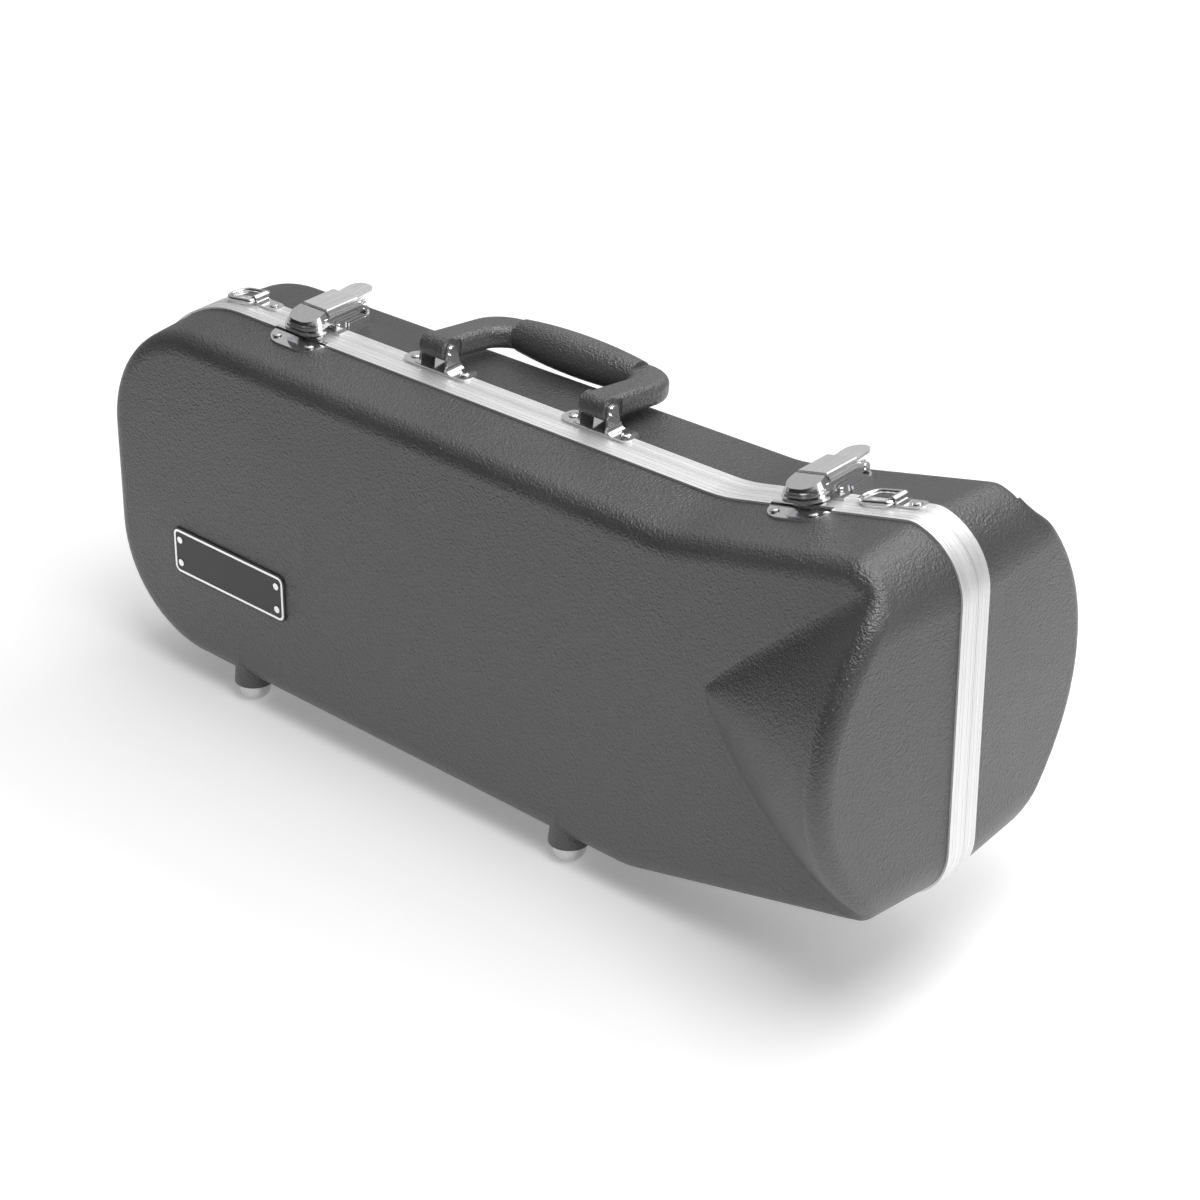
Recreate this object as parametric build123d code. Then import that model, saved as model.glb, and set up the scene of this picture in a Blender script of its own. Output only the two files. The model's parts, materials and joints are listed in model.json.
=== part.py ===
from build123d import *
import math
import os

# Trumpet case, millimetres. The origin is under the middle of the case at floor level, +X points to
# the bell end, +Y to the back half, +Z up. The two halves meet on the plane y = 0.

# ---- outline of the case on the parting plane
HALF_LENGTH = 289.0
TOP_LEFT_Z = 223.0
TOP_BEND = (139.0, 230.3)
TOP_PEAK = (257.4, 258.9)
TOP_RIGHT_Z = 250.5
BOTTOM_RIGHT_Z = 54.1
BOTTOM_BEND_X = 113.9
BOTTOM_Z = 12.8
OUTLINE = [
    # x, z, corner radius, clockwise from the top left corner
    (-HALF_LENGTH, TOP_LEFT_Z, 79.0),
    (*TOP_BEND, 90.0),
    (*TOP_PEAK, 18.0),
    (HALF_LENGTH, TOP_RIGHT_Z, 36.0),
    (HALF_LENGTH, BOTTOM_RIGHT_Z, 36.0),
    (BOTTOM_BEND_X, BOTTOM_Z, 60.0),
    (-HALF_LENGTH, BOTTOM_Z, 71.0),
]

# ---- shells
WALL = 2.6
DRAFT = 4.2
FACE_DEPTH = 56.46
FACE_SLOPE = 9.6 / 475
FACE_ROUND = 12.0
SHELL_INSET = 1.25
FRONT_BAND = 12.6
BACK_BAND = 9.2

# ---- flared bulge over the bell
BELL_START = 167.0
BELL_LENGTH = 113.0
BELL_Z = 150.8
BELL_RISE = 99.4
BELL_FALL = 87.0
BELL_SWELL = 47.0
BELL_FLARE = 5.0
BELL_BLEND = 6.0
BELL_POWER = 2.1
BELL_ROUND = 8.5

# ---- band
BAND_SKIN = 1.2
PARTING_GAP = 0.15
WEB_REACH = 9.0
TONGUE_INSET = 5.6
TONGUE_WIDTH = 1.8
TONGUE_HEIGHT = 2.0
GROOVE_CLEARANCE = 0.35

# ---- feet
FOOT_X = (-183.0, 66.0)
FOOT_SETBACK = 10.8
FOOT_HEIGHT = 11.2
FOOT_RADIUS = 9.4
FOOT_FLAT = 4.6
BOSS_RADIUS = 11.6
BOSS_TOP = 50.0

# ---- handle
HANDLE_X = -17.5
BRACKET_PITCH = 115.0
PIVOT_Y = 6.5
PIVOT_RISE = 13.0
ARM_REACH = 50.0
ARM_DROOP = 7.6
ARM_THICK = 13.0
ARM_HALF = 8.3
ARM_WIDE_HALF = 9.6
EAR_GAP_HALF = 8.7
EAR_THICK = 1.5
GRIP_HALF = 42.0
GRIP_RADIUS = 11.7
GRIP_END_RADIUS = 9.2
CORE_RADIUS = 5.6

# ---- latches, each in its own frame on the band: x along the band, y to the back, z out of it
LATCH_X = (-161.5, 190.5)
LEVER_PIN = (3.2, 4.6)
CLAW_PIN = (25.5, 8.4)
LEVER_HALF = 9.6
ARM_IN, ARM_OUT = 10.1, 11.9
CHEEK_IN, CHEEK_OUT = 12.3, 13.7
BASE_HALF = 15.5
BASE_END = 30.5
COVER_TOP = 14.6
COVER_END = 21.8
HOOK_TOP = 3.2

# ---- strap rings
RING_X = (-213.0, 236.0)
RING_WIRE = 1.4
RING_LENGTH = 21.0
RING_HALF = 7.6
RING_Y = 4.6
RING_DROOP = (8.5, 2.0)

# ---- bottom hinges
HINGE_X = (-120.0, 10.0)
HINGE_Z = 9.4
KNUCKLE_RADIUS = 2.6
HINGE_PIN_RADIUS = 1.2
KNUCKLE_LENGTH = 14.0

# ---- inside
LINER_GAP = 0.3
LINER_SEAM = 0.3
TUBE_ROOM_X = (-206.0, 150.0)
TUBE_ROOM_HALF = 36.0
TUBE_ROOM_Z = (104.0, 198.0)
VALVE_ROOM_X = (-72.0, 14.0)
VALVE_ROOM_HALF = 38.0
VALVE_ROOM_Z = (52.0, 198.0)
BELL_ROOM = [(120.0, 14.0), (190.0, 24.0), (240.0, 40.0), (277.0, 66.0)]
COMPARTMENT_X = (-276.0, -232.0)
COMPARTMENT_Z = (60.0, 166.0)
FLAP_SWEEP = 45.5
CUP_X = (-182.0, -146.0)
CUP_Z = 72.0
CUP_RADIUS = 12.5


def box(x, y, z):
    """Plain block from three (low, high) pairs."""
    size = [high - low for low, high in (x, y, z)]
    middle = [(high + low) / 2 for low, high in (x, y, z)]
    return Pos(*middle) * Box(*size)


def rod(radius, start, end):
    """Round bar from one point to another."""
    axis = Vector(*end) - Vector(*start)
    plane = Plane(origin=start, z_dir=axis)
    return extrude(plane * Circle(radius), amount=axis.length)


def slab(points, x):
    """Side profile of (y, z) points carried along x from x[0] to x[1]."""
    plane = Plane(origin=(x[0], 0, 0), x_dir=(0, 1, 0), z_dir=(1, 0, 0))
    return extrude(plane * make_face(Polyline(*points, close=True)), amount=x[1] - x[0])


def outline(inset, depth=0.0, side=-1):
    """Outline of the case drawn in by a distance, on the plane at a depth on one side."""
    count = len(OUTLINE)
    corners = [Vector(x, z) for x, z, _ in OUTLINE]
    moved = []
    for i in range(count):
        before = (corners[i] - corners[i - 1]).normalized()
        after = (corners[(i + 1) % count] - corners[i]).normalized()
        turn = before.X * after.Y - before.Y * after.X
        # Inward is to the right when the corners run clockwise.
        first = Vector(before.Y, -before.X)
        second = Vector(after.Y, -after.X)
        corner = corners[i] + (first + second) * (inset / (1 + first.dot(second)))
        radius = OUTLINE[i][2] + (inset if turn > 0 else -inset)
        moved.append((corner, radius))
    face = make_face(Polyline(*[(c.X, c.Y) for c, _ in moved], close=True))
    for corner, radius in moved:
        nearest = face.vertices().sort_by_distance((corner.X, corner.Y, 0))[0]
        face = fillet(nearest, radius)
    plane = Plane(origin=(0, side * depth, 0), x_dir=(1, 0, 0), z_dir=(0, -1, 0))
    return plane * face


def ring_wall(outer, inner, y0, y1):
    """Wall that follows the outline, between two insets and from y0 to y1."""
    face = outline(outer) - outline(inner)
    return Pos(0, y1, 0) * extrude(face, amount=y1 - y0)


def face_depth(x):
    return FACE_DEPTH + FACE_SLOPE * x


def bell_height(w, swell, blend):
    """Height of the bulge above the flat face; w is 1 where the two meet, and the corner there is soft."""
    raw = swell * (1 - abs(w) ** BELL_POWER)
    soft = max(blend - abs(raw), 0) ** 2 / (4 * blend)
    return max(raw, 0) + soft - 0.05


def bell_section(x, skin):
    """Cross-section of the flared bulge at x, open towards the inside of the front half."""
    t = (x - BELL_START) / BELL_LENGTH
    rise = BELL_RISE * t
    fall = BELL_FALL * (1 - (1 - t) ** 2)
    swell = BELL_SWELL * t + BELL_FLARE * t**9
    blend = min(BELL_BLEND, 0.6 * swell + 0.4)
    edge = (1 + 1.25 * blend / swell) ** (1 / BELL_POWER)
    points = []
    steps = 13
    for i in range(-steps, steps + 1):
        w = edge * math.sin(math.pi / 2 * i / steps)
        z = BELL_Z + w * (rise if w > 0 else fall)
        points.append((skin - face_depth(x) - bell_height(w, swell, blend), z))
    floor = -(face_depth(x) - skin - 16)
    plane = Plane(origin=(x, 0, 0), x_dir=(0, 1, 0), z_dir=(1, 0, 0))
    curve = Spline(*points)
    closing = Polyline(points[-1], (floor, points[-1][1]), (floor, points[0][1]), points[0])
    return plane * make_face([curve, *closing.edges()])


def half_space(skin):
    """Everything behind the inclined flat face of the front half."""
    block = box((-400, 400), (-200, 0), (-50, 400))
    lean = math.degrees(math.atan(FACE_SLOPE))
    return Pos(0, -(FACE_DEPTH - skin), 0) * Rot(0, 0, -lean) * Pos(0, 200, 0) * block


def bell_bulge(walls, skin):
    """Flared cone that grows out of the flat face, trimmed to the sloping walls."""
    stations = [0.03, 0.14, 0.28, 0.45, 0.62, 0.77, 0.88, 0.96, 1.03, 1.09]
    sections = [bell_section(BELL_START + BELL_LENGTH * t, skin) for t in stations]
    bulge = loft(sections) & walls
    rim = [
        e
        for e in bulge.edges()
        if e.center().X > 270 and e.center().Y < -66 and e.length > 20
    ]
    return fillet(rim, BELL_ROUND - skin / 2)


def filled_half(inset, skin, band):
    """Front half as one filled solid, from behind its band to its face."""
    walls = extrude(outline(inset, band), amount=110, taper=DRAFT)
    body = walls & half_space(skin)
    deep = [e for e in body.edges() if e.center().Y < -40 and e.bounding_box().size.Y < 14]
    body = fillet(deep, FACE_ROUND - skin)
    return body + bell_bulge(walls, skin)


def foot_y(x):
    """Distance of a foot's middle from the parting plane."""
    return face_depth(x) - FOOT_SETBACK


def boss(x):
    """Half cone that widens down the front face and carries a foot."""
    bottom = Plane(origin=(x, -foot_y(x), FOOT_HEIGHT)) * Circle(BOSS_RADIUS)
    tip = Plane(origin=(x, -(face_depth(x) - 1.4), BOSS_TOP)) * Circle(1.0)
    return loft([bottom, tip])


def shell(band):
    """Moulded front half: sloping walls, flat face, flare, foot bosses and a straight rim."""
    outer = filled_half(SHELL_INSET, 0, band)
    inner = filled_half(SHELL_INSET + WALL, WALL, band)
    body = outer - inner
    for x in FOOT_X:
        body += boss(x) - inner - outer
    body += ring_wall(SHELL_INSET, SHELL_INSET + WALL, -band, -2.0)
    return body


def to_back(shape):
    return mirror(shape, Plane.XZ)


def band_lines(width, sign):
    """Shallow lines that run along the outside of a band."""
    lines = None
    for share in (0.12, 0.3, 0.62, 0.8):
        y = sign * width * share
        cut = ring_wall(-1, 0.12, y - 0.25, y + 0.25)
        lines = cut if lines is None else lines + cut
    return lines


def lid_band():
    channel_in = SHELL_INSET + WALL + 0.05
    band = ring_wall(0, BAND_SKIN, -FRONT_BAND, -PARTING_GAP)
    band += ring_wall(0, WEB_REACH, -1.7, -PARTING_GAP)
    band += ring_wall(channel_in, channel_in + 1.1, -9.0, -PARTING_GAP)
    tongue = TONGUE_INSET + TONGUE_WIDTH
    band += ring_wall(TONGUE_INSET, tongue, -1.0, TONGUE_HEIGHT)
    return band - band_lines(FRONT_BAND, -1)


def body_band():
    channel_in = SHELL_INSET + WALL + 0.05
    band = ring_wall(0, BAND_SKIN, PARTING_GAP, BACK_BAND)
    band += ring_wall(0, WEB_REACH, PARTING_GAP, 1.7)
    band += ring_wall(channel_in, channel_in + 1.1, PARTING_GAP, 9.0)
    groove_in = TONGUE_INSET - GROOVE_CLEARANCE
    groove_out = TONGUE_INSET + TONGUE_WIDTH + GROOVE_CLEARANCE
    band += ring_wall(groove_in - 0.3, WEB_REACH, 1.0, 4.4)
    band -= ring_wall(groove_in, groove_out, -1.0, TONGUE_HEIGHT + 0.5)
    return band - band_lines(BACK_BAND, 1)


def splice(y0, y1):
    """Joint plate that closes a band's loop at the bottom, behind its web."""
    ends = box((-60, -20), (y0, y1), (0, 60))
    return ring_wall(5.4, WEB_REACH, y0, y1) & ends


def top_z(x):
    """Height of the band's top at x."""
    if x < TOP_BEND[0]:
        rise = (TOP_BEND[1] - TOP_LEFT_Z) / (TOP_BEND[0] + HALF_LENGTH)
        return TOP_LEFT_Z + (x + HALF_LENGTH) * rise
    rise = (TOP_PEAK[1] - TOP_BEND[1]) / (TOP_PEAK[0] - TOP_BEND[0])
    return TOP_BEND[1] + (x - TOP_BEND[0]) * rise


def seat(x):
    """Frame on the band's top at x: x along the band, z out of it."""
    lean = math.degrees(math.atan2(top_z(x + 1) - top_z(x - 1), 2))
    return Pos(x, 0, top_z(x)) * Rot(0, -lean, 0)


def rivet(x, y, z, head=2.6, depth=3.0, rise=0.9):
    """Round-headed rivet with its head's underside at z."""
    dome = Pos(x, y, z) * Cylinder(head, rise * 0.5, align=(Align.CENTER, Align.CENTER, Align.MIN))
    cap = Pos(x, y, z + rise * 0.5) * Cone(
        head, head * 0.55, rise * 0.5, align=(Align.CENTER, Align.CENTER, Align.MIN)
    )
    shank = Pos(x, y, z - depth) * Cylinder(1.3, depth, align=(Align.CENTER, Align.CENTER, Align.MIN))
    return dome + cap + shank


def hole(x, y, z0, z1, radius=1.3):
    return rod(radius, (x, y, z0), (x, y, z1))


# ---- handle, in the frame of its own seat

BRACKET_MIDDLES = (-BRACKET_PITCH / 2, BRACKET_PITCH / 2)
RIVET_OFFSET = 18.4


def handle_bracket(middle):
    """Strip along the band with two upright ears for the handle's pin."""
    strip = Plane(origin=(middle, 7.0, 0.02)) * RectangleRounded(48, 13, 5)
    base = extrude(strip, amount=1.5)
    for side in (-1, 1):
        x0 = middle + side * EAR_GAP_HALF
        x1 = x0 + side * EAR_THICK
        low, high = min(x0, x1), max(x0, x1)
        ear = slab([(0.8, 0.4), (12.4, 0.4), (10.2, PIVOT_RISE), (2.8, PIVOT_RISE)], (low, high))
        ear += rod(3.7, (low, PIVOT_Y, PIVOT_RISE), (high, PIVOT_Y, PIVOT_RISE))
        base += ear
        base += bend(x1, side)
        base -= hole(middle + side * RIVET_OFFSET, 7.0, -1, 3)
    pin = rod(2.0, (middle - 20, PIVOT_Y, PIVOT_RISE), (middle + 20, PIVOT_Y, PIVOT_RISE))
    return base - pin


def bend(x, side, radius=3.6):
    """Hollow corner where a bracket's strip turns up into an ear."""
    far = x + side * radius
    low, high = sorted((x, far))
    block = box((low, high), (0.8, 12.4), (1.4, 1.5 + radius))
    return block - rod(radius, (far, 0, 1.5 + radius), (far, 14, 1.5 + radius))


def handle_frame():
    """Frame of the handle at rest: origin on the pivot, y along the arms, z through them."""
    return Pos(0, PIVOT_Y, PIVOT_RISE) * Rot(-ARM_DROOP, 0, 0)


def handle_plan():
    """The handle from above: two arms and a cross bar with round corners."""
    reach = ARM_REACH + 9.5
    half = BRACKET_PITCH / 2
    outer = Pos(0, (reach - 8) / 2) * Rectangle(2 * (half + ARM_WIDE_HALF), reach + 8)
    outer = fillet(outer.vertices().group_by(Axis.Y)[-1], 23)
    inner_reach = ARM_REACH - 8.5
    inner = Pos(0, (inner_reach - 20) / 2) * Rectangle(2 * (half - ARM_WIDE_HALF), inner_reach + 20)
    inner = fillet(inner.vertices().group_by(Axis.Y)[-1], 13)
    return outer - inner


def handle_moulding():
    """Arms and corners in one piece, with a round core that runs through the grip."""
    arms = Pos(0, 0, -ARM_THICK / 2) * extrude(handle_plan(), amount=ARM_THICK)
    long_edges = [e for e in arms.edges() if abs(e.center().Z) > ARM_THICK / 2 - 0.1 and e.center().Y > -7]
    arms = fillet(long_edges, 4.6)
    half = BRACKET_PITCH / 2
    for side in (-1, 1):
        end = box((side * half - 30, side * half + 30), (-30, 0), (-20, 20))
        arms -= end
        low, high = side * half - ARM_HALF, side * half + ARM_HALF
        arms += rod(ARM_THICK / 2, (low, 0, 0), (high, 0, 0))
        for edge in (-1, 1):
            near = side * half + edge * ARM_HALF
            far = near + edge * 6
            arms -= box((min(near, far), max(near, far)), (-10, 7.6), (-10, 10))
        arms -= rod(2.05, (side * half - 20, 0, 0), (side * half + 20, 0, 0))
    middle = box((-GRIP_HALF, GRIP_HALF), (ARM_REACH - 12, ARM_REACH + 12), (-10, 10))
    arms -= middle
    arms += rod(CORE_RADIUS, (-GRIP_HALF - 3, ARM_REACH, 0), (GRIP_HALF + 3, ARM_REACH, 0))
    return arms


def handle_grip():
    """Barrel-shaped sleeve round the core."""
    h = GRIP_HALF - 0.02
    curve = Spline(
        (-h, GRIP_END_RADIUS),
        (-h * 0.5, GRIP_RADIUS - 0.6),
        (0, GRIP_RADIUS),
        (h * 0.5, GRIP_RADIUS - 0.6),
        (h, GRIP_END_RADIUS),
    )
    bore = CORE_RADIUS + 0.02
    closing = Polyline((h, GRIP_END_RADIUS), (h, bore), (-h, bore), (-h, GRIP_END_RADIUS))
    barrel = revolve(make_face([curve, *closing.edges()]), Axis.X)
    return Pos(0, ARM_REACH, 0) * barrel


def handle_pins():
    pins = []
    for middle in BRACKET_MIDDLES:
        out = EAR_GAP_HALF + EAR_THICK
        pin = rod(1.98, (middle - out, PIVOT_Y, PIVOT_RISE), (middle + out, PIVOT_Y, PIVOT_RISE))
        for side in (-1, 1):
            x = middle + side * (out + 0.02)
            pin += rod(2.9, (x, PIVOT_Y, PIVOT_RISE), (x + side * 1.0, PIVOT_Y, PIVOT_RISE))
            pin += rod(1.98, (x - side, PIVOT_Y, PIVOT_RISE), (x, PIVOT_Y, PIVOT_RISE))
        pins.append(pin)
    return pins


# ---- latch, in the frame of its own seat


def rounded_plate(half, front, back, radius, end):
    """Plan of a plate with two round corners: the front ones for end 0, the back ones for end -1."""
    plan = Pos(0, (front + back) / 2) * Rectangle(2 * half, back - front)
    return fillet(plan.vertices().group_by(Axis.Y)[end], radius)


def latch_base():
    """Tray on the back half: a floor that steps down to the shell, and two cheeks."""
    draft = math.tan(math.radians(DRAFT))
    end_drop = SHELL_INSET + draft * (BASE_END - BACK_BAND)
    floor = slab(
        [
            (0.5, 0.02),
            (BACK_BAND + 0.05, 0.02),
            (BACK_BAND + 0.05, -SHELL_INSET + 0.06),
            (BASE_END, -end_drop + 0.06),
            (BASE_END, 1.2),
            (0.5, 1.2),
        ],
        (-BASE_HALF, BASE_HALF),
    )
    rear = [e for e in floor.edges().filter_by(Axis.Z) if e.center().Y > BASE_END - 1]
    floor = fillet(rear, 10)
    rim = rounded_plate(BASE_HALF, 9, BASE_END, 10, -1)
    rim -= rounded_plate(BASE_HALF - 1.3, 8, BASE_END - 1.3, 8.7, -1)
    floor += Pos(0, 0, 0.6) * extrude(rim, amount=4.0)
    for side in (-1, 1):
        low, high = sorted((side * CHEEK_IN, side * CHEEK_OUT))
        cheek = slab([(0.5, 0.6), (25.0, 0.6), (24.0, 4.5), (19, 7.4), (1.5, 7.4), (0.5, 6.0)], (low, high))
        floor += cheek
        for y in (12.0, 22.0):
            floor -= hole(0, y, -6, 3)
    floor -= rod(1.32, (-20, *LEVER_PIN), (20, *LEVER_PIN))
    return floor


def latch_lever():
    """Two side flanges joined by a bridge, ending in the rounded thumb tab."""
    lever = None
    for side in (-1, 1):
        low, high = sorted((side * (LEVER_HALF - 1.4), side * LEVER_HALF))
        flange = slab(
            [(0.8, 3.0), (5.5, 2.6), (28.0, 6.0), (28.0, 11.0), (15.5, 12.6), (1.0, 12.6), (-1.2, 9.0)],
            (low, high),
        )
        lever = flange if lever is None else lever + flange
    bridge = slab([(-1.0, 11.2), (15.5, 11.2), (15.5, 12.6), (-0.6, 12.6)], (-LEVER_HALF, LEVER_HALF))
    neck = slab([(14.0, 11.2), (24.0, 11.2), (24.0, 12.6), (14.0, 12.6)], (-7.6, 7.6))
    tab = slab(
        [(21.0, 11.2), (30.0, 12.0), (39.5, 12.4), (39.5, 13.8), (30.0, 13.4), (22.0, 12.6), (21.0, 12.6)],
        (-7.6, 7.6),
    )
    corners = [e for e in tab.edges() if e.center().Y > 39 and abs(e.center().X) > 7.5]
    tab = fillet(corners, 7.2)
    lever += bridge
    lever += neck
    lever += tab
    lever -= rod(1.34, (-20, *LEVER_PIN), (20, *LEVER_PIN))
    lever -= rod(1.24, (-20, *CLAW_PIN), (20, *CLAW_PIN))
    return lever


def latch_cover():
    """Raised middle plate that sits on the lever's bridge."""
    plate = box((-LEVER_HALF, LEVER_HALF), (-2.2, COVER_END), (12.62, COVER_TOP))
    rim = [e for e in plate.edges() if e.center().Z > COVER_TOP - 0.01]
    return chamfer(rim, 0.6)


def hood_plan(front):
    """Prism with round front corners whose upper sides lean in."""
    plan = rounded_plate(ARM_OUT, front, 0, 9.8, 0)
    return extrude(plan, amount=8.8) + Pos(0, 0, 8.8) * extrude(plan, amount=8, taper=24)


def latch_claw():
    """Rounded hood over the keeper, rolled lips below it and two arms back to the claw pin."""
    front = -16.8
    claw = slab(
        [(front, 5.2), (front, 10.4), (-3.4, 13.9), (-3.4, 12.5), (-14.8, 9.2), (-14.8, 5.2)],
        (-ARM_OUT, ARM_OUT),
    )
    arms = []
    for side in (-1, 1):
        low, high = sorted((side * ARM_IN, side * ARM_OUT))
        claw += slab([(-12.0, 4.4), (-3.4, 6.6), (-3.4, 13.6), (-12.0, 10.8)], (low, high))
        arm = slab([(-6.0, 6.6), (24.0, 6.6), (24.0, 10.4), (-6.0, 10.4)], (low, high))
        arms.append(arm + rod(2.4, (low, *CLAW_PIN), (high, *CLAW_PIN)))
    claw &= hood_plan(front)
    for arm in arms:
        claw += arm
    claw += Pos(0, 0, 6.3) * extrude(rounded_plate(12.7, front - 0.8, -7.5, 9.9, 0), amount=1.3)
    claw += Pos(0, 0, 3.7) * extrude(rounded_plate(13.9, front - 1.2, -7.5, 10.4, 0), amount=1.6)
    return claw - rod(1.22, (-20, *CLAW_PIN), (20, *CLAW_PIN))


def lever_pin():
    return rod(1.3, (-CHEEK_OUT - 0.8, *LEVER_PIN), (CHEEK_OUT + 0.8, *LEVER_PIN))


def claw_pin():
    pin = rod(1.2, (-ARM_OUT, *CLAW_PIN), (ARM_OUT, *CLAW_PIN))
    for side in (-1, 1):
        start = side * (ARM_OUT + 0.02)
        pin += rod(1.2, (side * 10, *CLAW_PIN), (start, *CLAW_PIN))
        pin += rod(1.9, (start, *CLAW_PIN), (start + side * 0.5, *CLAW_PIN))
    return pin


KEEPER_RIVET = (12.5, -19.8)


def keeper():
    """Rounded plate on the front shell, stepped up over the band and ending in a hook."""
    draft = math.tan(math.radians(DRAFT))
    reach = -26.0
    low = -SHELL_INSET + 0.06
    drop = draft * (-reach - FRONT_BAND)
    profile = [
        (reach, low - drop),
        (-FRONT_BAND - 0.05, low),
        (-FRONT_BAND - 0.05, 0.02),
        (-6.4, 0.02),
        (-6.4, HOOK_TOP),
        (-9.4, HOOK_TOP),
        (-9.4, 2.0),
        (-7.9, 2.0),
        (-7.9, 1.2),
        (-13.6, 1.2),
        (-14.4, low + 1.2),
        (reach, low - drop + 1.2),
    ]
    plate = slab(profile, (-19.5, 19.5))
    plan = extrude(rounded_plate(19.5, reach + 0.2, -11.4, 13.5, 0), amount=12)
    plate &= Pos(0, 0, -6) * plan + box((-10, 10), (-14, 0), (-2, 6))
    plate -= box((9.2, 30), (-9.8, 0), (1.25, 8))
    plate -= box((-30, -9.2), (-9.8, 0), (1.25, 8))
    for side in (-1, 1):
        plate -= hole(side * KEEPER_RIVET[0], KEEPER_RIVET[1], -6, 3)
    return plate


# ---- strap ring and its clip, in the frame of its own seat; the loop is at the origin


LOOP_Z = 2.75


def ring_clip():
    """Strip bent round the ring's bar and riveted to the back band."""
    bore = rod(RING_WIRE + 0.35, (0, -1, LOOP_Z), (0, 10, LOOP_Z))
    loop = rod(2.6, (0, 0, LOOP_Z), (0, 9.2, LOOP_Z)) - bore
    tail = box((1.0, 17.0), (0, 9.2), (0.02, 1.2))
    tail = fillet([e for e in tail.edges().filter_by(Axis.Z) if e.center().X > 16], 4.4)
    tail += slab([(0, 0.1), (9.2, 0.1), (9.2, 1.6), (0, 1.6)], (1.6, 4.0))
    clip = loop + (tail - bore)
    return clip - hole(11.5, 4.6, -1, 3)


def strap_ring():
    """D-shaped wire ring whose straight bar lies in the clip's loop."""
    half, far = RING_HALF, -RING_LENGTH
    plan = Rectangle(RING_LENGTH, 2 * half, align=(Align.MAX, Align.CENTER))
    path = fillet(plan.vertices().group_by(Axis.X)[0], half - 0.8)
    path = fillet(path.vertices().group_by(Axis.X)[-1], 2.0)
    wire = Pos(0, RING_Y, LOOP_Z) * path.wires()[0]
    start = Plane(origin=(far / 2, RING_Y - half, LOOP_Z), z_dir=(1, 0, 0)) * Circle(RING_WIRE)
    return sweep(start, path=wire)


# ---- hinges


def knuckles(x, spans):
    barrel = None
    for low, high in spans:
        piece = rod(KNUCKLE_RADIUS, (x + low, 0, HINGE_Z), (x + high, 0, HINGE_Z))
        barrel = piece if barrel is None else barrel + piece
    return barrel


def hinge_leaf(x, side):
    """Leaf against the underside of one band, with its share of the knuckles."""
    third = KNUCKLE_LENGTH
    if side > 0:
        spans = [(-1.5 * third, -0.5 * third - 0.15), (0.5 * third + 0.15, 1.5 * third)]
    else:
        spans = [(-0.5 * third + 0.15, 0.5 * third - 0.15)]
    reach = BACK_BAND if side > 0 else FRONT_BAND
    leaf = box((x - 21, x + 21), sorted((side * 0.5, side * (reach - 0.6))), (11.5, BOTTOM_Z - 0.02))
    leaf -= rod(KNUCKLE_RADIUS + 0.4, (x - 25, 0, HINGE_Z), (x + 25, 0, HINGE_Z))
    for low, high in spans:
        tie = box((x + low, x + high), sorted((0, side * 2.6)), (HINGE_Z, 12.4))
        leaf += tie
    leaf += knuckles(x, spans)
    return leaf - rod(HINGE_PIN_RADIUS + 0.05, (x - 30, 0, HINGE_Z), (x + 30, 0, HINGE_Z))


def hinge_pin(x):
    length = 1.5 * KNUCKLE_LENGTH + 0.6
    return rod(HINGE_PIN_RADIUS, (x - length, 0, HINGE_Z), (x + length, 0, HINGE_Z))


# ---- feet, badge


def foot(x, side):
    """Dome with a small flat to stand on."""
    rise = FOOT_HEIGHT - 0.02
    curve = ThreePointArc((FOOT_FLAT, 0), (FOOT_RADIUS - 1.1, 3.2), (FOOT_RADIUS, 8.0))
    closing = Polyline((FOOT_RADIUS, 8.0), (FOOT_RADIUS, rise), (0, rise), (0, 0), (FOOT_FLAT, 0))
    dome = revolve(Plane.XZ * make_face([curve, *closing.edges()]), Axis.Z)
    return Pos(x, side * foot_y(x), 0) * (dome - rod(1.6, (0, 0, 2), (0, 0, 13)))


def foot_screw(x, side):
    y = side * foot_y(x)
    return rod(1.58, (x, y, 2.6), (x, y, FOOT_HEIGHT + 5))


BADGE_X, BADGE_Z = -187.3, 83.2
BADGE_SIZE = (93.0, 29.5)
BADGE_THICK = 1.0


def badge_frame():
    """Frame on the front face at the badge: x along the face, y up it, z out of it."""
    lean = math.degrees(math.atan(FACE_SLOPE))
    return Pos(BADGE_X, -face_depth(BADGE_X), BADGE_Z) * Rot(0, 0, -lean) * Rot(90, 0, 0)


def badge_ring(outer, inner):
    """Flat ring that follows the badge's edge, between two distances from it."""
    width, height = BADGE_SIZE
    ring = RectangleRounded(width - 2 * outer, height - 2 * outer, 5 - outer)
    return ring - RectangleRounded(width - 2 * inner, height - 2 * inner, 5 - inner)


def badge_border():
    """Bright line let into the plate's face."""
    return Pos(0, 0, 0.05 + BADGE_THICK - 0.25) * extrude(badge_ring(1.02, 2.48), amount=0.45)


def badge_plate():
    plate = extrude(RectangleRounded(*BADGE_SIZE, 5), amount=BADGE_THICK)
    plate -= Pos(0, 0, BADGE_THICK - 0.25) * extrude(badge_ring(1.0, 2.5), amount=1)
    for x, y in badge_corners():
        plate -= rod(0.9, (x, y, -1), (x, y, 3))
    return Pos(0, 0, 0.05) * plate


def badge_corners():
    x, y = BADGE_SIZE[0] / 2 - 6.2, BADGE_SIZE[1] / 2 - 7.4
    return [(-x, -y), (x, -y), (-x, y), (x, y)]


def badge_rivets():
    pins = []
    for x, y in badge_corners():
        pin = rod(0.88, (x, y, -2.0), (x, y, BADGE_THICK + 0.1))
        pin += Pos(0, 0, BADGE_THICK + 0.07) * rod(2.1, (x, y, 0), (x, y, 0.5))
        pins.append(pin)
    return pins


# ---- inside


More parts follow.
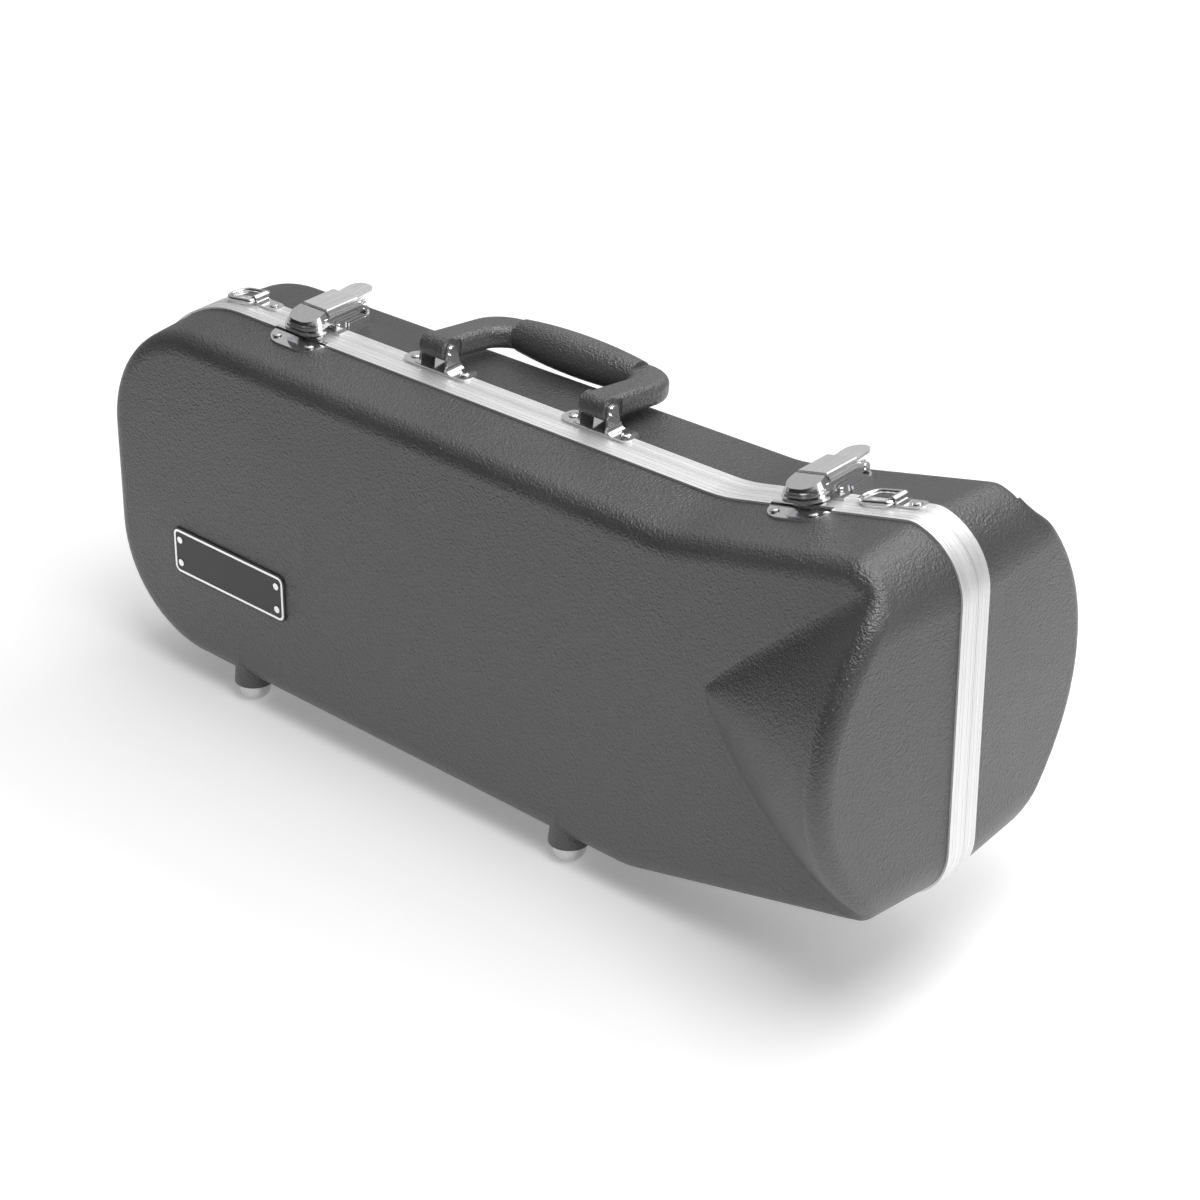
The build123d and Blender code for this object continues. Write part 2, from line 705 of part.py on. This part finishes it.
def trumpet_space():
    """Room for the instrument in both halves: bell, tubes and valve block."""
    sections = [
        Plane(origin=(x, 0, BELL_Z), z_dir=(1, 0, 0)) * Rectangle(2 * half, 2 * half)
        for x, half in BELL_ROOM
    ]
    bell = loft(sections, ruled=True)
    tubes = box(TUBE_ROOM_X, (-TUBE_ROOM_HALF, TUBE_ROOM_HALF), TUBE_ROOM_Z)
    valves = box(VALVE_ROOM_X, (-VALVE_ROOM_HALF, VALVE_ROOM_HALF), VALVE_ROOM_Z)
    valves = fillet(valves.edges().filter_by(Axis.Y), 8)
    return bell + tubes + valves


def liner(band):
    """Padded filling of one half, before its hollows are cut, as seen in the front half."""
    inset = SHELL_INSET + WALL + LINER_GAP
    deep = filled_half(inset, WALL + LINER_GAP, band)
    rim = ring_block(9.6, -band - 0.02, -1.9)
    return deep + rim


def ring_block(inset, y0, y1):
    return Pos(0, y1, 0) * extrude(outline(inset), amount=y1 - y0)


def liner_blocks(filling):
    """Padding of one half cut into blocks that meet round the instrument, by name."""
    left, right = TUBE_ROOM_X
    low, high = TUBE_ROOM_Z
    far = 400
    deep = (-200, 200)
    return {
        "end": filling & box((-far, left - LINER_SEAM), deep, (-far, far)),
        "top": filling & box((left, right), deep, (high, far)),
        "bottom": filling & box((left, right), deep, (-far, low)),
        "middle": filling & box((left, right), deep, (low + LINER_SEAM, high - LINER_SEAM)),
        "bell": filling & box((right + LINER_SEAM, far), deep, (-far, far)),
    }


def mouthpiece_cup(x):
    """Tube with a square flange at its mouth, closed at the bottom."""
    cup = rod(CUP_RADIUS + 1.9, (x, 3, CUP_Z), (x, 41.9, CUP_Z))
    flange = Plane(origin=(x, 3, CUP_Z), x_dir=(1, 0, 0), z_dir=(0, 1, 0)) * RectangleRounded(30.6, 30.6, 4)
    cup += extrude(flange, amount=2)
    return cup - rod(CUP_RADIUS, (x, 0, CUP_Z), (x, 39, CUP_Z))


def compartment_box():
    """Accessory box with an open front, in the back half."""
    x0, x1 = COMPARTMENT_X
    z0, z1 = COMPARTMENT_Z
    outer = box((x0, x1), (9.6, 44.0), (z0, z1))
    return outer - box((x0 + 2, x1 - 2), (9.0, 42.0), (z0 + 2, z1 - 2))


def compartment_lid():
    """Flap over the accessory box, with knuckles on the right-hand edge."""
    x0, x1 = COMPARTMENT_X
    z0, z1 = COMPARTMENT_Z
    flap = box((x0 + 1, x1 - 2.6), (5.2, 8.2), (z0 + 1, z1 - 1))
    flap += rod(2.0, (x1, 6.7, z0 + 20), (x1, 6.7, z1 - 20))
    flap += box((x1 - 3, x1), (5.4, 8.0), (z0 + 20, z1 - 20))
    flap -= box((x1 - 2.7, x1 + 3), (3, 12), ((z0 + z1) / 2 - 12, (z0 + z1) / 2 + 12))
    return flap - rod(1.05, (x1, 6.7, z0), (x1, 6.7, z1))


def compartment_knuckle():
    """Post between the flap's knuckles, fixed to the box."""
    x1 = COMPARTMENT_X[1]
    middle = sum(COMPARTMENT_Z) / 2
    post = rod(2.0, (x1, 6.7, middle - 11.7), (x1, 6.7, middle + 11.7))
    post += box((x1 - 1.0, x1 + 1.9), (6.7, 14.0), (middle - 11.7, middle + 11.7))
    post -= box((x1 - 5, x1), (9.5, 20), (middle - 20, middle + 20))
    return post - rod(1.02, (x1, 6.7, middle - 20), (x1, 6.7, middle + 20))


def compartment_pin():
    z0, z1 = COMPARTMENT_Z
    x1 = COMPARTMENT_X[1]
    return rod(1.0, (x1, 6.7, z0 + 20), (x1, 6.7, z1 - 20))


def write(name, shape, location=None):
    """Write one node; a list is a group of separate solids."""
    pieces = shape if isinstance(shape, list) else [shape]
    if location is not None:
        pieces = [location * piece for piece in pieces]
    solids = [solid for piece in pieces for solid in piece.solids()]
    result = solids[0] if len(solids) == 1 else Compound(children=solids)
    export_step(result, f"parts/{name}.step")


def write_shells():
    foot_holes = [rod(1.6, (x, -foot_y(x), 5), (x, -foot_y(x), FOOT_HEIGHT + 5.3)) for x in FOOT_X]
    front = shell(FRONT_BAND)
    back = to_back(shell(BACK_BAND))
    for cut in foot_holes:
        front -= cut
        back -= to_back(cut)
    for x in LATCH_X:
        for side in (-1, 1):
            front -= seat(x) * hole(side * KEEPER_RIVET[0], KEEPER_RIVET[1], -8, 3, 1.32)
        for y in (12.0, 22.0):
            back -= seat(x) * hole(0, y, -8, 3, 1.32)
    for x, y in badge_corners():
        front -= badge_frame() * rod(0.9, (x, y, -2.1), (x, y, 1))
    write("front_shell", front)
    write("back_shell", back)


def write_bands():
    lid = lid_band()
    body = body_band()
    for middle in BRACKET_MIDDLES:
        for side in (-1, 1):
            body -= seat(HANDLE_X) * hole(middle + side * RIVET_OFFSET, 7.0, -1.9, 1, 1.32)
    for x in RING_X:
        body -= seat(x) * hole(11.5, RING_Y, -1.9, 1, 1.32)
    write("lid_band", lid)
    write("body_band", body)
    write("lid_band_splice", splice(-2.9, -1.75))
    write("body_band_splice", splice(4.45, 5.6))


def write_handle():
    place = seat(HANDLE_X)
    for name, middle in zip(("left", "right"), BRACKET_MIDDLES):
        write(f"{name}_handle_bracket", handle_bracket(middle), place)
    write("handle_moulding", handle_moulding(), place * handle_frame())
    write("handle_grip", handle_grip(), place * handle_frame())
    write("handle_pins", handle_pins(), place)
    rivets = [rivet(m + s * RIVET_OFFSET, 7.0, 1.54, depth=2.7) for m in BRACKET_MIDDLES for s in (-1, 1)]
    write("handle_rivets", rivets, place)


def write_latches():
    base_rivets = []
    keeper_rivets = []
    for name, x in zip(("left", "right"), LATCH_X):
        place = seat(x)
        write(f"{name}_latch_base", latch_base(), place)
        write(f"{name}_latch_lever", latch_lever(), place)
        write(f"{name}_latch_cover", latch_cover(), place)
        write(f"{name}_latch_claw", latch_claw(), place)
        write(f"{name}_lever_pin", lever_pin(), place)
        write(f"{name}_claw_pin", claw_pin(), place)
        write(f"{name}_keeper", keeper(), place)
        base_rivets += [place * rivet(0, y, 1.22, depth=4.6) for y in (12.0, 22.0)]
        for side in (-1, 1):
            keeper_rivets.append(place * rivet(side * KEEPER_RIVET[0], KEEPER_RIVET[1], -0.15, depth=3.6))
    write("latch_rivets", base_rivets)
    write("keeper_rivets", keeper_rivets)


def write_rings():
    rivets = []
    for name, x, droop in zip(("left", "right"), RING_X, RING_DROOP):
        place = seat(x)
        hang = place * Pos(0, 0, LOOP_Z) * Rot(0, -droop, 0) * Pos(0, 0, -LOOP_Z)
        write(f"{name}_ring_clip", ring_clip(), place)
        write(f"{name}_strap_ring", strap_ring(), hang)
        rivets.append(place * rivet(11.5, 4.6, 1.22, depth=2.4))
    write("ring_rivets", rivets)


def write_hinges():
    write("body_hinge_leaves", [hinge_leaf(x, 1) for x in HINGE_X])
    write("lid_hinge_leaves", [hinge_leaf(x, -1) for x in HINGE_X])
    write("hinge_pins", [hinge_pin(x) for x in HINGE_X])


def write_feet_and_badge():
    write("front_feet", [foot(x, -1) for x in FOOT_X])
    write("back_feet", [foot(x, 1) for x in FOOT_X])
    write("front_foot_screws", [foot_screw(x, -1) for x in FOOT_X])
    write("back_foot_screws", [foot_screw(x, 1) for x in FOOT_X])
    write("badge_plate", badge_plate(), badge_frame())
    write("badge_border", badge_border(), badge_frame())
    write("badge_rivets", badge_rivets(), badge_frame())


def write_inside():
    x0, x1 = COMPARTMENT_X
    z0, z1 = COMPARTMENT_Z
    space = trumpet_space()
    front = liner(FRONT_BAND) - space
    swing = rod(FLAP_SWEEP, (x1, 6.7, z0 - 6), (x1, 6.7, z1 + 6))
    front -= swing & box((x0 - 5, x1 + 6), (-60, 1), (z0 - 10, z1 + 10))
    back = to_back(liner(BACK_BAND)) - space
    back -= box((x0 - 0.3, x1 + 0.3), (0, 44.3), (z0 - 0.3, z1 + 0.3))
    back -= box((x0 - 2, x1 + 4), (0, 14.2), (z0 - 2, z1 + 2))
    for x in CUP_X:
        back -= box((x - 15.5, x + 15.5), (0, 42), (CUP_Z - 15.5, CUP_Z + 15.5))
    for half, filling in (("lid", front), ("body", back)):
        for name, block in liner_blocks(filling).items():
            write(f"{half}_liner_{name}", block)
    write("mouthpiece_cups", [mouthpiece_cup(x) for x in CUP_X])
    write("compartment_box", compartment_box())
    write("compartment_lid", compartment_lid())
    write("compartment_knuckle", compartment_knuckle())
    write("compartment_pin", compartment_pin())


os.makedirs("parts", exist_ok=True)
write_shells()
write_bands()
write_handle()
write_latches()
write_rings()
write_hinges()
write_feet_and_badge()
write_inside()
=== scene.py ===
import json
import math

import bpy
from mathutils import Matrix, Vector


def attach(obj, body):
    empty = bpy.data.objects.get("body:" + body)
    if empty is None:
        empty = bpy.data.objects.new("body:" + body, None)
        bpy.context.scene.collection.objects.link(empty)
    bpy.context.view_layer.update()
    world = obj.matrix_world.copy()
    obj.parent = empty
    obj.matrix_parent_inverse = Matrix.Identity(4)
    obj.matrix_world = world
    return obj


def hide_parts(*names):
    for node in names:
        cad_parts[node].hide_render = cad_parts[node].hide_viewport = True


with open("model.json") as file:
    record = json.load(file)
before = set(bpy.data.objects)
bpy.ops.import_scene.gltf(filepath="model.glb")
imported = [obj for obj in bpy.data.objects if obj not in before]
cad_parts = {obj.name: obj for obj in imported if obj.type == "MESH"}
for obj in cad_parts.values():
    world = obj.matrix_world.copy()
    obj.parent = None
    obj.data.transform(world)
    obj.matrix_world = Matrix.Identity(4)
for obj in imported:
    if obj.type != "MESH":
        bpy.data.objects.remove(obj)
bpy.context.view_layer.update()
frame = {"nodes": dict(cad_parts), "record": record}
nodes = frame["nodes"]


# ---- node helpers


def new_material(name):
    """Material with a Principled shader; returns it, its tree, the shader and object coordinates."""
    mat = bpy.data.materials.new(name)
    mat.use_nodes = True
    tree = mat.node_tree
    shader = tree.nodes["Principled BSDF"]
    coords = tree.nodes.new("ShaderNodeTexCoord").outputs["Object"]
    return mat, tree, shader, coords


def scaled(tree, coords, scale):
    """Coordinates stretched by one factor along each axis."""
    mapping = tree.nodes.new("ShaderNodeMapping")
    mapping.inputs["Scale"].default_value = scale
    tree.links.new(coords, mapping.inputs["Vector"])
    return mapping.outputs["Vector"]


def noise(tree, coords, scale, detail=2.0, rough=0.5):
    tex = tree.nodes.new("ShaderNodeTexNoise")
    tex.inputs["Scale"].default_value = scale
    tex.inputs["Detail"].default_value = detail
    tex.inputs["Roughness"].default_value = rough
    tree.links.new(coords, tex.inputs["Vector"])
    return tex.outputs["Fac"]


def cells(tree, coords, scale):
    """Soft-edged cells, like the pebbles of leather."""
    tex = tree.nodes.new("ShaderNodeTexVoronoi")
    tex.feature = "SMOOTH_F1"
    tex.inputs["Scale"].default_value = scale
    tree.links.new(coords, tex.inputs["Vector"])
    return tex.outputs["Distance"]


def ranged(tree, value, low, high, from_low=0.3, from_high=0.7):
    """Number that runs from low to high as value goes from from_low to from_high."""
    node = tree.nodes.new("ShaderNodeMapRange")
    node.inputs["From Min"].default_value = from_low
    node.inputs["From Max"].default_value = from_high
    node.inputs["To Min"].default_value = low
    node.inputs["To Max"].default_value = high
    tree.links.new(value, node.inputs["Value"])
    return node.outputs["Result"]


def tinted(tree, value, low, high, from_low=0.3, from_high=0.7):
    """Colour that runs between two colours as value goes from from_low to from_high."""
    ramp = tree.nodes.new("ShaderNodeValToRGB")
    ramp.color_ramp.elements[0].position = from_low
    ramp.color_ramp.elements[0].color = (*low, 1)
    ramp.color_ramp.elements[1].position = from_high
    ramp.color_ramp.elements[1].color = (*high, 1)
    tree.links.new(value, ramp.inputs["Fac"])
    return ramp.outputs["Color"]


def calculated(tree, operation, a, b):
    """One step of arithmetic on two sockets or numbers."""
    node = tree.nodes.new("ShaderNodeMath")
    node.operation = operation
    for socket, value in zip(node.inputs, (a, b)):
        if isinstance(value, float):
            socket.default_value = value
        else:
            tree.links.new(value, socket)
    return node.outputs[0]


def added(tree, a, b, share=1.0):
    """a + share * b."""
    node = tree.nodes.new("ShaderNodeMath")
    node.operation = "MULTIPLY_ADD"
    node.inputs[1].default_value = share
    tree.links.new(b, node.inputs[0])
    tree.links.new(a, node.inputs[2])
    return node.outputs[0]


def bumped(tree, shader, height, distance, strength=1.0):
    node = tree.nodes.new("ShaderNodeBump")
    node.inputs["Distance"].default_value = distance
    node.inputs["Strength"].default_value = strength
    tree.links.new(height, node.inputs["Height"])
    tree.links.new(node.outputs["Normal"], shader.inputs["Normal"])


# ---- materials


def grained_plastic(name, low, high, rough, grain=800.0, depth=0.0003, sheen=0.0, gloss=0.5):
    """Moulded plastic with a fine leather-like grain: small pebbles with creases between them."""
    mat, tree, shader, coords = new_material(name)
    patches = noise(tree, coords, 14.0, 3.0)
    pebbles = cells(tree, coords, grain)
    creases = cells(tree, coords, grain * 0.55)
    speckle = noise(tree, coords, grain * 1.3)
    shade = added(tree, patches, speckle, 0.35)
    tree.links.new(tinted(tree, shade, low, high, 0.45, 0.9), shader.inputs["Base Color"])
    tree.links.new(ranged(tree, patches, *rough), shader.inputs["Roughness"])
    shader.inputs["Specular IOR Level"].default_value = gloss
    shader.inputs["Sheen Weight"].default_value = sheen
    fine = noise(tree, coords, grain * 2.2, 1.0)
    height = added(tree, added(tree, pebbles, creases, 0.6), fine, 0.35)
    bumped(tree, shader, height, depth)
    return mat


def brushed_band(name):
    """Bright aluminium with faint lines that run along the band."""
    mat, tree, shader, coords = new_material(name)
    along = scaled(tree, coords, (0.02, 1.0, 0.02))
    lines = noise(tree, along, 2200.0)
    wide = noise(tree, along, 300.0, 1.0)
    both = added(tree, lines, wide, 0.6)
    colour = tinted(tree, both, (0.82, 0.82, 0.82), (0.9, 0.9, 0.9), 0.55, 1.05)
    tree.links.new(colour, shader.inputs["Base Color"])
    shader.inputs["Metallic"].default_value = 0.65
    tree.links.new(ranged(tree, both, 0.38, 0.5, 0.55, 1.05), shader.inputs["Roughness"])
    bumped(tree, shader, both, 0.000006)
    return mat


def plated(name, low, high, rough, streaks=(1.0, 1.0, 1.0), metallic=1.0):
    """Polished or satin plated metal with faint marks."""
    mat, tree, shader, coords = new_material(name)
    marks = noise(tree, scaled(tree, coords, streaks), 700.0, 3.0)
    tree.links.new(tinted(tree, marks, low, high), shader.inputs["Base Color"])
    shader.inputs["Metallic"].default_value = metallic
    tree.links.new(ranged(tree, marks, *rough), shader.inputs["Roughness"])
    bumped(tree, shader, noise(tree, coords, 240.0), 0.00002, 0.4)
    return mat


def plush(name, low, high):
    """Short pile over foam."""
    mat, tree, shader, coords = new_material(name)
    pile = noise(tree, coords, 1500.0, 3.0, 0.7)
    brushed = noise(tree, coords, 30.0)
    colour = tinted(tree, added(tree, brushed, pile, 0.5), low, high, 0.5, 1.0)
    tree.links.new(colour, shader.inputs["Base Color"])
    shader.inputs["Roughness"].default_value = 0.95
    shader.inputs["Sheen Weight"].default_value = 0.6
    bumped(tree, shader, pile, 0.0008, 0.8)
    return mat


def paint_slots(materials):
    """Give every node the material of its slot in the record."""
    for entry in frame["record"]["subparts"]:
        mesh = nodes[entry["node"]].data
        mesh.materials.clear()
        mesh.materials.append(materials[entry["material_slot"]])


LENGTHWISE = (1.0, 0.05, 1.0)

liner_plush = plush("liner_plush", (0.02, 0.02, 0.022), (0.06, 0.06, 0.065))

paint_slots(
    {
        "shell": grained_plastic(
            "shell_grey",
            (0.05, 0.05, 0.051),
            (0.07, 0.07, 0.071),
            (0.28, 0.4),
            grain=950.0,
            depth=0.00045,
            gloss=0.9,
        ),
        "handle": grained_plastic(
            "handle_black",
            (0.055, 0.055, 0.056),
            (0.095, 0.095, 0.096),
            (0.24, 0.36),
            grain=1000.0,
            depth=0.0005,
            sheen=0.05,
            gloss=1.0,
        ),
        "band": brushed_band("band_metal"),
        "chrome": plated("chrome", (0.86, 0.86, 0.87), (0.95, 0.95, 0.96), (0.06, 0.14), metallic=0.95),
        "latch_steel": plated(
            "latch_metal", (0.82, 0.82, 0.82), (0.93, 0.93, 0.93), (0.14, 0.24), LENGTHWISE, metallic=0.75
        ),
        "plush": liner_plush,
        "compartment": grained_plastic(
            "covered_board", (0.05, 0.047, 0.045), (0.09, 0.085, 0.08), (0.6, 0.75), grain=500.0
        ),
        "cup_rubber": grained_plastic(
            "cup_rubber", (0.015, 0.015, 0.015), (0.03, 0.03, 0.03), (0.6, 0.8), grain=700.0
        ),
        "foot_metal": plated("foot_metal", (0.6, 0.6, 0.6), (0.72, 0.72, 0.72), (0.16, 0.26), metallic=0.9),
        "badge": grained_plastic(
            "badge_dark",
            (0.028, 0.028, 0.029),
            (0.045, 0.045, 0.046),
            (0.35, 0.45),
            grain=1200.0,
            depth=0.00005,
        ),
    }
)


# ---- padding: soft blocks that stand for the liner solids

BEHAVIOUR = frame["record"]["behaviour"]
BODY_OF = {node: body for body, held in BEHAVIOUR["bodies"].items() for node in held}
VOXEL = 0.0045
ROUNDING = 0.6
ROUNDING_STEPS = 7
SINK = 0.0007
SINK_WAVE = 0.0004
JOINTS = {joint["name"]: joint for joint in BEHAVIOUR["joints"]}
FLAP_PIVOT = JOINTS["compartment_flap_hinge"]["pos_m"]
FLAP_ARC = 0.0468
FLAP_HEIGHTS = (0.056, 0.170)


def finished_mesh(obj):
    """The mesh of obj with its modifiers applied; obj keeps it and drops the modifiers."""
    bpy.context.view_layer.update()
    solved = obj.evaluated_get(bpy.context.evaluated_depsgraph_get())
    mesh = bpy.data.meshes.new_from_object(solved)
    obj.modifiers.clear()
    obj.data = mesh
    return mesh


def sink_faces(mesh):
    """Draw every face in a little, more in some places than in others, as foam under plush does."""
    for vertex in mesh.vertices:
        place = vertex.co
        wave = math.sin(place.x * 95.0) * math.sin(place.z * 88.0 + 0.6)
        vertex.co = place - vertex.normal * (SINK + SINK_WAVE * wave)


def clear_of_flap(mesh):
    """Keep the foam behind the arc that the free edge of the accessory flap swings through."""
    low, high = FLAP_HEIGHTS
    for vertex in mesh.vertices:
        dx = vertex.co.x - FLAP_PIVOT[0]
        dy = vertex.co.y - FLAP_PIVOT[1]
        reach = math.hypot(dx, dy)
        in_front = dx < 0.003 and dy < -0.006 and low < vertex.co.z < high
        if in_front and 0.03 < reach < FLAP_ARC:
            vertex.co.x = FLAP_PIVOT[0] + dx * FLAP_ARC / reach
            vertex.co.y = FLAP_PIVOT[1] + dy * FLAP_ARC / reach


def soft_block(node):
    """Plush-covered foam in the room of one liner solid, with soft edges and faces that sink a little."""
    pad = bpy.data.objects.new("soft_" + node, nodes[node].data.copy())
    bpy.context.scene.collection.objects.link(pad)
    grid = pad.modifiers.new("grid", "REMESH")
    grid.mode = "VOXEL"
    grid.voxel_size = VOXEL
    round_off = pad.modifiers.new("round_off", "SMOOTH")
    round_off.factor = ROUNDING
    round_off.iterations = ROUNDING_STEPS
    mesh = finished_mesh(pad)
    sink_faces(mesh)
    if node == "lid_liner_end":
        clear_of_flap(mesh)
    mesh.polygons.foreach_set("use_smooth", [True] * len(mesh.polygons))
    mesh.materials.clear()
    mesh.materials.append(liner_plush)
    finer = pad.modifiers.new("finer", "SUBSURF")
    finer.levels = 1
    finer.render_levels = 1
    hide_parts(node)
    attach(pad, BODY_OF[node])


for half in ("lid", "body"):
    for place in ("end", "top", "bottom", "middle", "bell"):
        soft_block(f"{half}_liner_{place}")


# ---- stage, light and camera

FLOOR_HALF = 8.0
FLOOR_GLOW = 0.25

# between these distances from the case the floor turns pure white for the camera,
# and its colour is painted dark grey for light that bounces off it: painted shade for the unlit far floor
FAR = (0.55, 1.2)
FAR_GLOW = 0.6
FAR_PAINTED_SHADE = 0.12

# direction, sharpness and strength of the broad bright parts of the studio
SKY = [
    ((-0.707, 0.707, 0.45), 4.0, 0.47),
    ((1.0, 0.0, 0.45), 4.0, 0.50),
    ((0.0, 0.0, 1.0), 6.0, 0.75),
]

# place, width and power of the softboxes
SOFTBOXES = {
    "back_light": ((0.0, 1.35, 1.6), 0.9, 8.8),
    "back_left_light": ((-0.8, 1.0, 1.5), 0.8, 1.2),
    "back_right_light": ((0.9, 1.0, 1.7), 1.2, 4.6),
    "right_light": ((1.7, 0.4, 1.0), 0.9, 3.6),
    "top_light": ((0.0, 0.1, 1.9), 1.3, 5.8),
    "top_right_light": ((0.6, -0.25, 1.5), 0.9, 11.0),
}
LIGHT_AIM = (0.0, 0.0, 0.12)

CAMERA_PLACE = (1.1396, -1.2299, 1.0572)
CAMERA_AIM = (0.04627, 0.0, 0.1312)
CAMERA_LENS = 106.66


def aimed(place, aim):
    """Rotation that turns a lamp or camera at place towards aim."""
    return (Vector(aim) - Vector(place)).to_track_quat("-Z", "Y").to_euler()


def floor_white():
    """White paper with a slight glow of its own, so the shadow on it stays soft. Far from the case its
    colour is painted dark grey for bounced light only, as painted shade.
    """
    mat, tree, shader, coords = new_material("floor_white")
    shader.inputs["Roughness"].default_value = 0.9
    shader.inputs["Emission Color"].default_value = (1, 1, 1, 1)
    distance = tree.nodes.new("ShaderNodeVectorMath")
    distance.operation = "LENGTH"
    tree.links.new(coords, distance.inputs[0])
    far = ranged(tree, distance.outputs["Value"], 0.0, FAR_GLOW, *FAR)
    camera_ray = tree.nodes.new("ShaderNodeLightPath").outputs["Is Camera Ray"]
    seen = calculated(tree, "MULTIPLY", far, camera_ray)
    bounce_shade_mask = calculated(tree, "SUBTRACT", far, seen)
    paper = tinted(tree, noise(tree, coords, 3.0), (0.88, 0.88, 0.88), (0.9, 0.9, 0.9))
    # painted shade: far from the case the floor colour turns dark grey for every ray but the camera's
    far_shade_mix = tree.nodes.new("ShaderNodeMix")
    far_shade_mix.data_type = "RGBA"
    far_shade_mix.inputs["B"].default_value = (FAR_PAINTED_SHADE, FAR_PAINTED_SHADE, FAR_PAINTED_SHADE, 1)
    tree.links.new(ranged(tree, bounce_shade_mask, 0.0, 1.0, 0.0, FAR_GLOW), far_shade_mix.inputs["Factor"])
    tree.links.new(paper, far_shade_mix.inputs["A"])
    tree.links.new(far_shade_mix.outputs["Result"], shader.inputs["Base Color"])
    tree.links.new(calculated(tree, "ADD", seen, FLOOR_GLOW), shader.inputs["Emission Strength"])
    return mat


def make_floor():
    mesh = bpy.data.meshes.new("floor")
    r = FLOOR_HALF
    mesh.from_pydata([(-r, -r, 0), (r, -r, 0), (r, r, 0), (-r, r, 0)], [], [(0, 1, 2, 3)])
    mesh.materials.append(floor_white())
    floor = bpy.data.objects.new("floor", mesh)
    bpy.context.scene.collection.objects.link(floor)


def lobe(tree, coords, direction, sharpness, strength):
    """Strength that is greatest along one direction and falls off smoothly round it."""
    dot = tree.nodes.new("ShaderNodeVectorMath")
    dot.operation = "DOT_PRODUCT"
    dot.inputs[1].default_value = Vector(direction).normalized()
    tree.links.new(coords, dot.inputs[0])
    level = calculated(tree, "MAXIMUM", dot.outputs["Value"], 0.0)
    level = calculated(tree, "POWER", level, sharpness)
    return calculated(tree, "MULTIPLY", level, strength)


def make_world():
    """White to the camera; as light it is bright above, on the right and behind, dark in front."""
    world = bpy.data.worlds.new("studio")
    bpy.context.scene.world = world
    world.use_nodes = True
    tree = world.node_tree
    coords = tree.nodes.new("ShaderNodeTexCoord").outputs["Generated"]
    first, second, third = [lobe(tree, coords, *part) for part in SKY]
    light = tree.nodes["Background"]
    light.inputs["Color"].default_value = (1, 1, 1, 1)
    tree.links.new(added(tree, added(tree, first, second), third), light.inputs["Strength"])
    white = tree.nodes.new("ShaderNodeBackground")
    white.inputs["Strength"].default_value = 1.0
    white.inputs["Color"].default_value = (1, 1, 1, 1)
    path = tree.nodes.new("ShaderNodeLightPath")
    mix = tree.nodes.new("ShaderNodeMixShader")
    tree.links.new(path.outputs["Is Camera Ray"], mix.inputs[0])
    tree.links.new(light.outputs[0], mix.inputs[1])
    tree.links.new(white.outputs[0], mix.inputs[2])
    tree.links.new(mix.outputs[0], tree.nodes["World Output"].inputs["Surface"])


def softbox(name, place, width, power):
    light = bpy.data.lights.new(name, "AREA")
    light.shape = "SQUARE"
    light.size = width
    light.energy = power
    lamp = bpy.data.objects.new(name, light)
    lamp.location = place
    lamp.rotation_euler = aimed(place, LIGHT_AIM)
    bpy.context.scene.collection.objects.link(lamp)


def make_camera():
    data = bpy.data.cameras.new("camera")
    data.lens = CAMERA_LENS
    data.sensor_width = 36.0
    data.clip_end = 50.0
    cam = bpy.data.objects.new("camera", data)
    cam.location = CAMERA_PLACE
    cam.rotation_euler = aimed(CAMERA_PLACE, CAMERA_AIM)
    bpy.context.scene.collection.objects.link(cam)
    bpy.context.scene.camera = cam


make_floor()
make_world()
for name, (place, width, power) in SOFTBOXES.items():
    softbox(name, place, width, power)
make_camera()
bpy.context.scene.view_settings.view_transform = "Standard"
